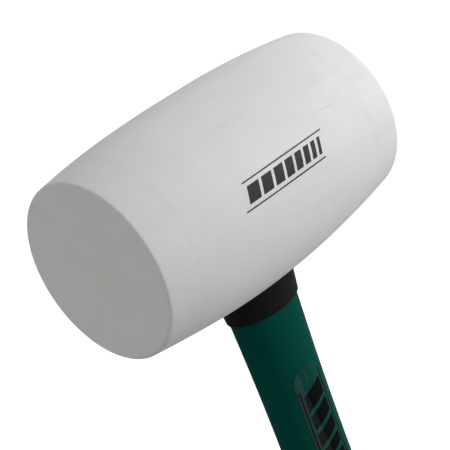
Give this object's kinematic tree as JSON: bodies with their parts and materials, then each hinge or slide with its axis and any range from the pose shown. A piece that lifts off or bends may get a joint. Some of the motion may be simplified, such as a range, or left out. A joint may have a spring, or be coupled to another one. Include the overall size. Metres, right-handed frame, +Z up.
{
  "type": "rubber mallet",
  "caption": "White barrel-shaped rubber mallet head on an oval green handle with a black neck collar, black ribbed grip and a hang hole in the butt.",
  "frame": {"origin": "centre of the flat butt end of the handle, so the mallet stands upright on z = 0", "axes": "+Z up the handle to the head, X along the head from striking face to striking face, Y through the flat sides of the oval handle"},
  "size_m": [0.1488, 0.0892, 0.38],
  "materials": {
    "white_rubber": "matte, slightly chalky white rubber with a faint moulding seam",
    "epoxy": "cured adhesive, hidden inside the head",
    "fibreglass": "pultruded glass fibre rod, hidden inside the jacket",
    "green_plastic": "satin dark green moulded plastic",
    "black_rubber": "matte black soft moulding",
    "grip_rubber": "matte black soft moulding with cross ribs",
    "label_film": "clear satin film over green, milky where it has lifted, with a plain printed bar pattern"
  },
  "bodies": {
    "root": {"head": "white_rubber", "eye_bond": "epoxy", "core_rod": "fibreglass", "handle_jacket": "green_plastic", "neck_collar": "black_rubber", "grip_sleeve": "grip_rubber", "handle_label": "label_film"}
  },
  "joints": []
}
